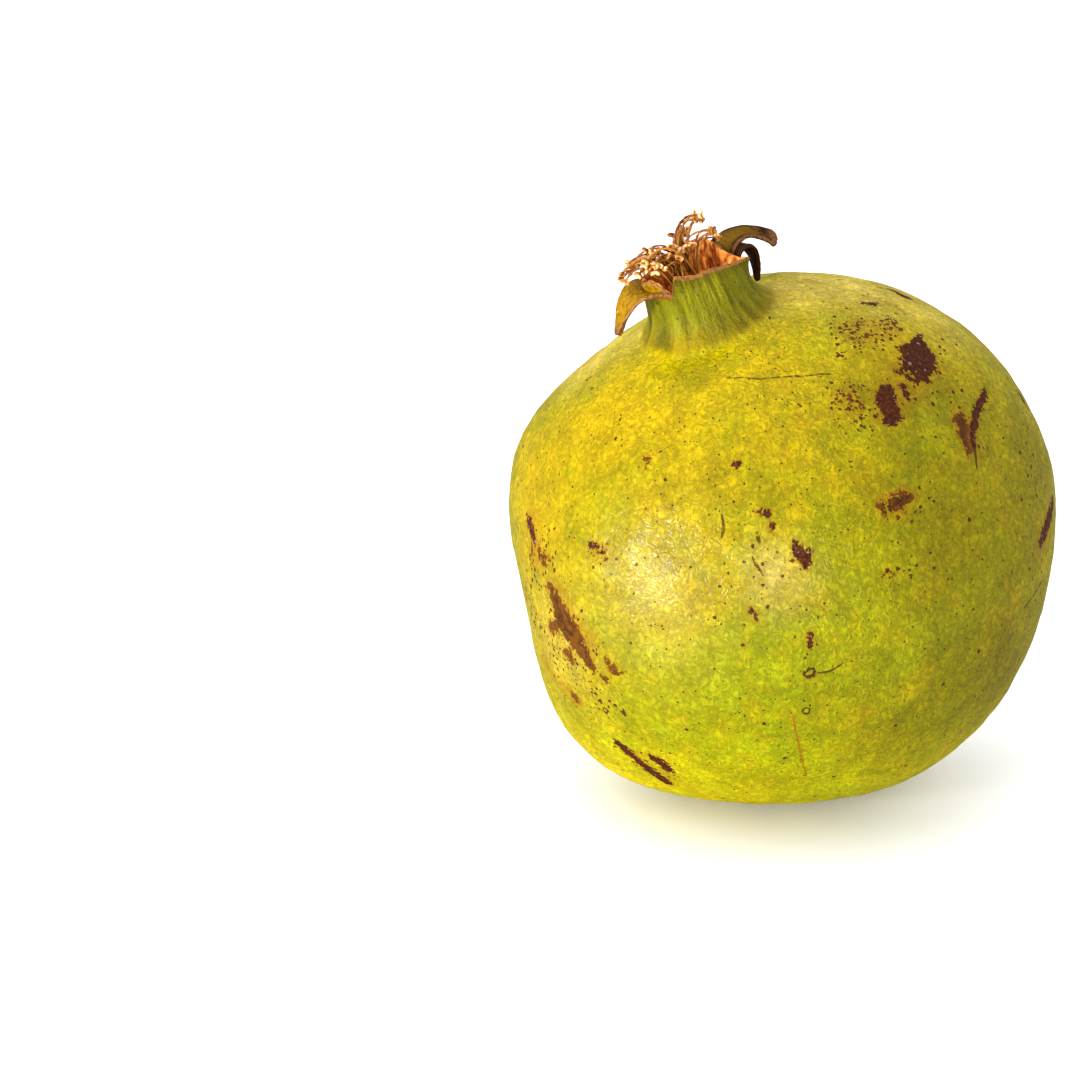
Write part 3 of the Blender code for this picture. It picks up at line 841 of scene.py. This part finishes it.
def skin_colour(paint):
    """Olive skin, greener, more golden, deeper or paler by place, and mottled. Deeper is partly
    painted shade and paler partly painted highlight; the wrinkles' furrows get painted shade.
    """
    broad = paint.noise(12 * MM, 3, 0.5)
    middle = paint.noise(4.5 * MM, 3, 0.55)
    fine = paint.noise(1.9 * MM, 3, 0.6)
    shift = paint.swing(fine, 0.8, paint.swing(middle, 1.15, paint.swing(broad, 1.2)))
    green = paint.op("ADD", paint.fact("green"), shift, clamp=True)
    gold = paint.op("SUBTRACT", paint.fact("gold"), shift, clamp=True)
    # Deeper olive, partly painted shade
    deep_and_shade = paint.op("MULTIPLY_ADD", shift, 0.35, paint.fact("deep_and_shade"), clamp=True)
    colour = paint.mix(green, OLIVE, LEAF_GREEN)
    colour = paint.mix(gold, colour, GOLDEN)
    colour = paint.mix(deep_and_shade, colour, DEEP_OLIVE_AND_SHADE)
    # Paler skin, partly painted highlight and sheen
    pale_and_highlight = paint.times(paint.fact("pale_and_highlight"), paint.span(middle, 0.3, 0.7, 0.5, 1.0))
    colour = paint.mix(pale_and_highlight, colour, PALE_SKIN_AND_HIGHLIGHT)
    # Painted shade in the wrinkles' furrows, lighter on their tops
    light = paint.span(wrinkles(paint), 0.0, 1.0, 0.66, 1.2, kind="LINEAR")
    specks = paint.noise(1.0 * MM, 3, 0.65)
    light = paint.times(light, paint.span(specks, 0.3, 0.7, 0.83, 1.17, kind="LINEAR"))
    patches = paint.noise(6.5 * MM, 4, 0.6, distort=0.4)
    light = paint.times(light, paint.span(patches, 0.3, 0.7, 0.76, 1.2, kind="LINEAR"))
    # Painted bounce light at the bottom and painted light from above at the top
    light = paint.times(light, paint.fact("lift"))
    return paint.mix(1.0, colour, grey(paint, light), "MULTIPLY")


def wrinkles(paint):
    """Short worm-like wrinkles: 0 in their furrows, 1 on top."""
    ridged = []
    for width, distort in ((WRINKLE_WIDTH, 0.5), (WRINKLE_WIDTH / 2, 0.4)):
        wave = paint.noise(width, 2, 0.5, distort=distort)
        ridged.append(paint.op("ABSOLUTE", paint.times(wave, 6.0, -3.0), clamp=True))
    coarse, fine = ridged
    return paint.times(fine, 0.4, paint.times(coarse, 0.6))


def grey(paint, value):
    made = paint.node("ShaderNodeCombineColor")
    for socket in made.inputs[:3]:
        paint.put(socket, value)
    return made.outputs[0]


def skin_marks(paint, colour):
    """Dots, stains, scabs, blotches and lines over the skin: the colour, and what is raised."""
    ragged = paint.op("SUBTRACT", paint.noise(1.5 * MM, 5, 0.66, distort=0.5), 0.5)
    rough = paint.op("SUBTRACT", paint.noise(0.5 * MM, 3, 0.6), 0.5)
    body = paint.span(paint.fact("neck"), 0.0, 0.25, 1.0, 0.25)
    speckled = paint.fact("speckled")
    stain_edge = paint.times(ragged, 6.0, paint.fact("stain"))
    stain = paint.times(paint.span(stain_edge, -1.4, 1.6, 0.4, 0.0), body)
    colour = paint.mix(stain, colour, STAIN)
    colour = paint.mix(dots(paint, 0.95 * MM, 0.15, 0.5, 0.35, 0.22), colour, DOT)
    colour = paint.mix(dots(paint, 0.8 * MM, 0.4, 0.99, 0.93, 0.6), colour, SPECKLE)
    crumbs = paint.noise(0.85 * MM, 2, 0.5, distort=0.6)
    crumbs = paint.op("ADD", crumbs, paint.times(speckled, 0.3, -0.3))
    colour = paint.mix(paint.span(crumbs, 0.555, 0.585, 0.0, 0.92), colour, BLOTCH_RED)
    grain = paint.noise(0.6 * MM, 4, 0.65)
    torn = paint.op("SUBTRACT", paint.noise(2.4 * MM, 5, 0.7, distort=0.8), 0.5)
    edge = paint.times(torn, 6.5, paint.fact("scab"))
    edge = paint.times(rough, 1.8, edge)
    colour = paint.mix(paint.span(edge, 0.1, 1.3, 0.5, 0.0), colour, STAIN)
    crust = paint.span(edge, 0.05, 0.25, 0.95, 0.0)
    inner = paint.mix(paint.span(torn, -0.12, 0.14), SCAB_BROWN, SCAB_DARK)
    colour = paint.mix(crust, colour, inner)
    edge = paint.times(ragged, 3.4, paint.fact("blotch"))
    edge = paint.times(rough, 1.6, edge)
    colour = paint.mix(paint.span(edge, 0.1, 1.0, 0.4, 0.0), colour, STAIN)
    cover = paint.span(edge, 0.06, 0.2, 1.0, 0.0)
    inner = paint.mix(paint.span(grain, 0.38, 0.7), BLOTCH_DARK, BLOTCH_RED)
    inner = paint.mix(paint.span(paint.noise(1.1 * MM, 2, 0.5), 0.66, 0.69, 0.0, 0.7), inner, FLECK)
    colour = paint.mix(cover, colour, inner)
    broken = paint.span(paint.noise(1.3 * MM, 3, 0.6), 0.32, 0.45)
    wavy = paint.times(ragged, 3.0, paint.fact("line_side"))
    side = paint.span(paint.op("ABSOLUTE", wavy), 0.8, 1.6, 1.0, 0.0)
    line = paint.times(side, paint.span(paint.fact("line_near"), 0.4, 0.6, 1.0, 0.0))
    line = paint.times(paint.times(line, broken), 0.9)
    colour = paint.mix(line, colour, paint.mix(paint.fact("line_tone"), LINE, SCRATCH))
    ring = paint.times(ragged, 1.5, paint.fact("ring"))
    ring = paint.span(paint.op("ABSOLUTE", paint.op("SUBTRACT", ring, 0.85)), 0.14, 0.3, 0.9, 0.0)
    colour = paint.mix(ring, colour, BLOTCH_DARK)
    return colour, paint.op("MAXIMUM", cover, crust)


def dots(paint, size, radius, base, gain, stray):
    """Round dots, one to a cell at most, in strayed cells of that size.

    A cell's dot shows if its lot is over base less gain times the square of the speckling.
    """
    place = paint.node("ShaderNodeVectorMath", operation="MULTIPLY_ADD")
    warp = paint.noise(DOT_WARP, 2.0, 0.5, output="Color")
    for socket, value in zip(place.inputs, (warp, (stray * size,) * 3, paint.place)):
        paint.put(socket, value)
    cell = paint.node("ShaderNodeTexVoronoi")
    paint.fill(cell, Vector=place.outputs[0], Scale=1.0 / size)
    lot = paint.node("ShaderNodeSeparateColor")
    paint.put(lot.inputs[0], cell.outputs["Color"])
    share = paint.op("POWER", paint.fact("speckled"), 2.0)
    most = paint.times(share, -gain, base)
    chosen = paint.op("GREATER_THAN", lot.outputs[0], most)
    reach = paint.times(lot.outputs[1], radius, 0.45 * radius)
    beyond = paint.op("SUBTRACT", cell.outputs["Distance"], reach)
    return paint.times(chosen, paint.span(beyond, -0.015, 0.015, 0.95, 0.0))


def crown_colour(paint, colour):
    """The neck's green and gold, with painted shade in its folds and under the rim and painted
    highlights on its ridges, the cup's brown inner face and the dry sepals.
    """
    own = paint.fact("own", "Vector")
    streaks = paint.noise(1.0, 4, 0.6, place=paint.scaled(own, (700, 700, 150)))
    neck = paint.fact("neck")
    height = paint.swing(streaks, 0.7, neck)
    neck_colour = paint.mix(paint.span(height, 0.0, 0.42), NECK_GOLD, NECK_GREEN)
    hollow = paint.swing(streaks, 0.8, paint.fact("fold"))
    # Painted shade in the neck's fold furrows
    neck_colour = paint.mix(paint.span(hollow, -0.45, 0.05, 0.75, 0.0), neck_colour, NECK_PAINTED_SHADE)
    # Painted shade under the rim, darker towards its top
    neck_colour = paint.mix(paint.span(neck, 0.72, 1.0, 0.0, 0.6), neck_colour, NECK_PAINTED_SHADE)
    # Painted highlights on the neck's fold ridges
    painted_ridge_highlight = paint.span(hollow, 0.1, 0.6, 1.0, 1.6)
    neck_colour = paint.mix(1.0, neck_colour, grey(paint, painted_ridge_highlight), "MULTIPLY")
    neck_colour = paint.mix(dots(paint, 1.1 * MM, 0.15, 0.6, 0.0, 0.22), neck_colour, DOT)
    colour = paint.mix(paint.span(neck, 0.0, 0.12, 0.0, 0.85), colour, neck_colour)
    wrinkle = paint.noise(1.0, 5, 0.65, place=paint.scaled(own, (800, 800, 300)))
    dry = paint.fact("dry")
    margin = paint.fact("margin")
    aged = paint.op("ADD", dry, paint.swing(wrinkle, 1.0, paint.times(margin, 0.5)))
    sepal = paint.mix(paint.span(wrinkle, 0.36, 0.54), SEPAL_GREEN, SEPAL_FACE)
    sepal = paint.mix(paint.span(aged, 0.35, 0.9), sepal, SEPAL_DRY)
    colour = paint.mix(paint.span(dry, 0.05, 0.15), colour, sepal)
    inner = paint.mix(paint.span(wrinkle, 0.4, 0.62), INNER_DARK, INNER_ORANGE)
    colour = paint.mix(paint.span(paint.fact("inside"), 0.45, 0.6), colour, inner)
    fleck = paint.noise(0.5 * MM, 3, 0.6)
    lip = paint.mix(paint.span(fleck, 0.2, 0.6), MARGIN_DARK, MARGIN_PALE)
    lip = paint.mix(paint.span(dry, 0.3, 0.9), lip, paint.mix(0.7, MARGIN_DARK, SEPAL_DRY))
    return paint.mix(paint.span(margin, 0.5, 0.85, 0.0, 0.92), colour, lip)


def skin_roughness(paint, cover):
    base = paint.span(paint.noise(3 * MM, 3), 0.3, 0.7, 0.2, 0.34)
    base = paint.times(cover, 0.25, base)
    return paint.times(paint.span(paint.fact("neck"), 0.0, 0.3), 0.14, base)


def skin_relief(paint, cover, depth):
    """Leathery wrinkles on the body, lengthwise ones on the neck, raised scabs."""
    swell = paint.noise(3.5 * MM, 3, 0.5)
    height = paint.times(swell, 1.8, wrinkles(paint))
    normal = paint.bump(height, depth, strength=1.0)
    own = paint.fact("own", "Vector")
    fibre = paint.noise(1.0, 5, 0.6, place=paint.scaled(own, (1300, 1300, 230)), distort=0.8)
    neck = paint.span(paint.fact("neck"), 0.0, 0.2)
    normal = paint.bump(paint.times(fibre, neck), 0.5 * MM, normal, 0.8)
    scab = paint.times(cover, paint.noise(0.6 * MM, 3, 0.6))
    return paint.bump(scab, 0.35 * MM, normal, 0.8)


# Stamens


# Tufts of heads, in millimetres: to the right of the axis, behind it and above the rim,
# how far the heads stray, and how many they are
STAMEN_SEED = 8
TUFTS = (
    (-11.3, -1.8, 2.9, 1.0, 4), (-9.2, 0.2, 4.0, 0.9, 4), (-7.4, -2.8, 3.9, 1.2, 4),
    (-5.2, 0.8, 3.9, 1.1, 4), (-4.6, -4.0, 3.4, 1.3, 4), (-2.0, -1.4, 4.0, 1.4, 5),
    (-0.8, 2.4, 5.0, 1.2, 4), (0.4, 0.6, 3.8, 1.2, 4), (3.6, 2.2, 7.2, 1.0, 5),
    (1.6, 3.6, 5.0, 1.0, 3), (5.6, 3.2, 3.4, 0.8, 4),
)
STAMEN_ROOT_HEIGHT = 0.9 * MM
ROOT_MIDDLE = Vector((-1.2, 0.4, 0.0)) * MM
ROOT_SPREAD = 2.9 * MM
KNEE_SHARE = 0.25
KNEE_RISE = 0.4
KNEE_STRAY = 0.9 * MM
GAP = 0.3 * MM
FILAMENT_RADIUS = 0.19 * MM
ANTHER_RADIUS = 0.48 * MM
ANTHER_BEND = 0.66 * MM
EXTRA_SEED = 21
EXTRA_SHARE = 0.15
FILAMENT_STEPS = 14
FILAMENT_SWAY = 0.35  # in millimetres
ANTHER_STEPS = 12
ANTHER_REACH = 78  # half of the anther's bend, in degrees


def strayed(chance):
    return Vector([chance.uniform(-1.0, 1.0) for _ in range(3)])


def around(rho, turn, height):
    return Vector((rho * math.cos(turn), rho * math.sin(turn), height))


def tube(points, radii, sides, tone, groove=0.0):
    """A rod along points, as (points, faces, tones), with two darker sides if grooved."""
    skin, tones = [], []
    aside = (points[1] - points[0]).orthogonal()
    for place, (point, radius) in enumerate(zip(points, radii)):
        ahead = (points[min(place + 1, len(points) - 1)] - points[max(place - 1, 0)]).normalized()
        aside = (aside - ahead * aside.dot(ahead)).normalized()
        other = ahead.cross(aside)
        for side in range(sides):
            a = math.tau * side / sides
            skin.append(point + radius * (math.cos(a) * aside + math.sin(a) * other))
            tones.append(tone - groove * abs(math.sin(a)) ** 3)
    count = len(skin)
    skin += [points[0], points[-1]]
    return skin, turned_faces(len(points), sides, count), tones + [tone, tone]


def make_stamen(chance, fine, tuft, shift=0.0):
    """A filament and its bean-shaped anther, as a list of tubes."""
    right, behind, up, stray, _ = tuft
    head = (Vector((right, behind, up)) + strayed(chance) * stray) * MM
    head += Vector((0.0, 0.0, RIM_HEIGHT + shift))
    root = around(ROOT_SPREAD * math.sqrt(chance.random()), chance.uniform(0.0, math.tau), 0.0)
    start = ROOT_MIDDLE + root + Vector((0.0, 0.0, RIM_HEIGHT - CUP_DEPTH + STAMEN_ROOT_HEIGHT))
    knee = start.lerp(head, KNEE_SHARE)
    knee.z = head.z + KNEE_RISE * math.hypot(head.x - start.x, head.y - start.y)
    knee += strayed(chance) * KNEE_STRAY
    sway = strayed(fine) * FILAMENT_SWAY * MM
    points = []
    for step in range(FILAMENT_STEPS + 1):
        share = step / FILAMENT_STEPS
        point = start.lerp(knee, share).lerp(knee.lerp(head, share), share)
        points.append(point + sway * math.sin(math.tau * share) * share)
    heading = (points[-1] - points[-2]).normalized()
    across = heading.cross(strayed(chance)).normalized()
    bean, swell = [], []
    for step in range(ANTHER_STEPS + 1):
        a = math.radians(-ANTHER_REACH + 2 * ANTHER_REACH * step / ANTHER_STEPS)
        bend = across * math.sin(a) + heading * (1.0 - math.cos(a))
        bean.append(points[-1] + ANTHER_BEND * bend)
        lobes = 0.74 + 0.26 * abs(math.sin(a)) ** 0.8
        swell.append(ANTHER_RADIUS * lobes * math.sqrt(max(0.06, 1.0 - (a / 1.38) ** 4)))
    waves = [math.sin(9 * step + 50 * sway.x / MM) for step in range(len(points))]
    radii = [FILAMENT_RADIUS * (1.0 + 0.25 * wave) for wave in waves]
    filament = tube(points, radii, 6, fine.uniform(0.1, 0.55))
    anther = tube(bean, swell, 12, fine.uniform(0.7, 1.1), 0.75)
    return [filament, anther]


def joined(tubes):
    """The points, faces and tones of all tubes together."""
    points, faces, tones = [], [], []
    for skin, more, tone in tubes:
        faces += [tuple(len(points) + corner for corner in face) for face in more]
        points += skin
        tones += tone
    return np.array([tuple(p) for p in points]), faces, tones


def make_stamens():
    chance, fine = random.Random(STAMEN_SEED), random.Random(EXTRA_SEED)
    tubes = []
    for tuft in TUFTS:
        for _ in range(tuft[-1]):
            tubes += make_stamen(chance, fine, tuft)
    for tuft in TUFTS:
        for _ in range(round(EXTRA_SHARE * tuft[-1])):
            tubes += make_stamen(fine, fine, tuft, -fine.uniform(0.0, 1.2) * MM)
    own, faces, tones = joined(tubes)
    made = mesh_object("stamen_tuft", stamen_material(), placed(own), faces, {"tone": tones})
    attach(made, "root")
    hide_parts("stamens")


FILAMENT_DARK = (0.07, 0.018, 0.001)
FILAMENT_TAN = (0.4, 0.15, 0.02)
ANTHER_PALE = (0.85, 0.55, 0.25)


def stamen_material():
    paint = Paint("dry_stamen")
    tone = paint.swing(paint.noise(0.6 * MM, 3), 0.7, paint.fact("tone"))
    colour = paint.mix(paint.span(tone, 0.05, 0.5), FILAMENT_DARK, FILAMENT_TAN)
    colour = paint.mix(paint.span(tone, 0.6, 1.05), colour, ANTHER_PALE)
    paint.surface(
        Base_Color=colour,
        Roughness=0.35,
        Specular_IOR_Level=0.15,
        Normal=paint.bump(paint.noise(0.3 * MM, 3), 0.1 * MM, strength=0.6),
    )
    return paint.material


# Stem


STEM_LENGTH = 4.2 * MM
STEM_RADIUS = 2.4 * MM
STEM_SEAT = 0.65 * MM
STEM_FIBRES = 9
STEM_BRACTS = 5
STEM_SEED = 4
EXTRA_FIBRES = 14


def make_stem():
    """The woody stub, with more and finer split fibres than its solid has."""
    chance = random.Random(STEM_SEED)
    base = Vector((0, 0, -BODY_HALF_HEIGHT + DIMPLE_DEPTH - GAP - STEM_SEAT))

    def along(share, aside=Vector((0, 0, 0))):
        return base + Vector((0, 0, -STEM_LENGTH * share)) + aside

    def splinter(spots, widths, sides, tone):
        """A bent tube. Its root, bend and tip are (share along the stub, place aside)."""
        a, b, c = (along(*spot) for spot in spots)
        shares = [i / 8 for i in range(9)]
        points = [a * (1 - s) ** 2 + b * 2 * s * (1 - s) + c * s * s for s in shares]
        radii = np.interp(shares, (0, 0.6, 1), [width * MM for width in widths]).tolist()
        return tube(points, radii, sides, tone)

    trunk = [along(0.8 * s / 10) for s in range(11)]
    radii = [STEM_RADIUS * (1.0 - 0.4 * (s / 10) ** 2) for s in range(11)]
    tubes = [tube(trunk, radii, 24, 0.3)]
    for fibre in range(STEM_FIBRES):
        angle = math.tau * (fibre + chance.uniform(-0.2, 0.2)) / STEM_FIBRES
        aside = around(STEM_RADIUS, angle, 0.0)
        end = chance.uniform(0.85, 1.0)
        out = chance.uniform(0.7, 1.15)
        spots = ((0.35, 0.6 * aside), (0.65, 0.68 * aside), (end, out * aside))
        tubes.append(splinter(spots, (0.5, 0.46, 0.2), 7, chance.uniform(0.2, 0.9)))
    for bract in range(STEM_BRACTS):
        angle = math.tau * (bract + chance.uniform(-0.2, 0.2)) / STEM_BRACTS
        aside = around(STEM_RADIUS, angle, 0.0)
        spots = ((0.12, 0.75 * aside), (0.26, 1.3 * aside), (0.42, 1.65 * aside))
        tubes.append(splinter(spots, (0.75, 0.66, 0.2), 9, chance.uniform(0.3, 1.0)))
    for _ in range(EXTRA_FIBRES):
        angle = chance.uniform(0, math.tau)
        aside = around(STEM_RADIUS * chance.uniform(0.2, 0.9), angle, 0.0)
        spots = ((0.4, 0.7 * aside), (0.7, 0.8 * aside), (chance.uniform(0.8, 0.98), aside))
        tubes.append(splinter(spots, (0.3, 0.24, 0.1), 5, chance.uniform(0.2, 1.0)))
    own, faces, tones = joined(tubes)
    facts = {"tone": tones, "own": own}
    made = mesh_object("stem_stub", stem_material(), placed(own), faces, facts)
    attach(made, "root")
    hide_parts("stem")


WOOD_DARK = (0.1070, 0.0319, 0.0160)
WOOD_BROWN = (0.4020, 0.1620, 0.0887)
WOOD_PALE = (0.6724, 0.4125, 0.2542)


def stem_material():
    paint = Paint("stem_wood")
    own = paint.fact("own", "Vector")
    grain = paint.noise(1.0, 5, 0.65, place=paint.scaled(own, (2600, 2600, 420)))
    tone = paint.swing(grain, 1.2, paint.fact("tone"))
    colour = paint.mix(paint.span(tone, 0.0, 0.6), WOOD_DARK, WOOD_BROWN)
    colour = paint.mix(paint.span(tone, 0.6, 1.1), colour, WOOD_PALE)
    paint.surface(
        Base_Color=colour,
        Roughness=paint.span(grain, 0.3, 0.7, 0.65, 0.85),
        Normal=paint.bump(grain, 0.3 * MM, strength=0.8),
    )
    return paint.material


# The room


FLOOR_SIZE = 4.0
# The fruit throws yellow light on the floor, which the photograph's white balance takes out
FLOOR_TINT = (0.955, 0.962, 1.0)


def make_floor():
    corners = [(x * FLOOR_SIZE, y * FLOOR_SIZE, 0) for x, y in ((-1, -1), (1, -1), (1, 1), (-1, 1))]
    paint = Paint("floor_white")
    shade = paint.span(paint.noise(0.4, 2), 0.3, 0.7, 0.93, 0.945)
    cool = paint.mix(1.0, grey(paint, shade), FLOOR_TINT, "MULTIPLY")
    paint.surface(Base_Color=cool, Roughness=0.75, Specular_IOR_Level=0.2)
    floor = mesh_object("floor", paint.material, corners, [(0, 1, 2, 3)])


# Softboxes: name, place and size in metres, and power. The overhead light is very soft.
SOFTBOXES = (
    ("window", (-0.72, -0.5, 0.1), (0.17, 0.15), 12.3),
    ("front", (-0.09, -1.0, 0.1), (0.09, 0.09), 2.8),
)
WORLD_STRENGTH = 1.5
OVERHEAD_STRENGTH = 0.6
OVERHEAD_ANGLE = math.radians(80)
OVERHEAD_WAY = Vector((0.42, 0.12, -1.0))


def add_lamp(data, place, way):
    lamp = added(data.name, data)
    lamp.location = place
    lamp.rotation_euler = way.to_track_quat("-Z", "Y").to_euler()


def make_lights():
    world = bpy.data.worlds.new("studio")
    world.use_nodes = True
    back = world.node_tree.nodes["Background"]
    back.inputs["Color"].default_value = (1.0, 1.0, 1.0, 1.0)
    back.inputs["Strength"].default_value = WORLD_STRENGTH
    bpy.context.scene.world = world
    data = bpy.data.lights.new("overhead", "SUN")
    data.energy = OVERHEAD_STRENGTH
    data.angle = OVERHEAD_ANGLE
    add_lamp(data, CENTRE, OVERHEAD_WAY)
    for name, place, size, power in SOFTBOXES:
        data = bpy.data.lights.new(name, "AREA")
        data.shape = "RECTANGLE"
        data.size, data.size_y = size
        data.energy = power
        add_lamp(data, place, CENTRE - Vector(place))
    bpy.context.scene.view_settings.view_transform = "Standard"


def make_rind():
    world, faces, facts = join_rind()
    tree = BVHTree.FromPolygons([tuple(p) for p in world], faces)
    mark_skin(tree, world, facts)
    broad_colour(tree, world, facts)
    made = mesh_object("rind", rind_material(), world, faces, facts)
    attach(made, "root")
    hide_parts("fruit")


make_camera()
make_rind()
make_stamens()
make_stem()
make_floor()
make_lights()
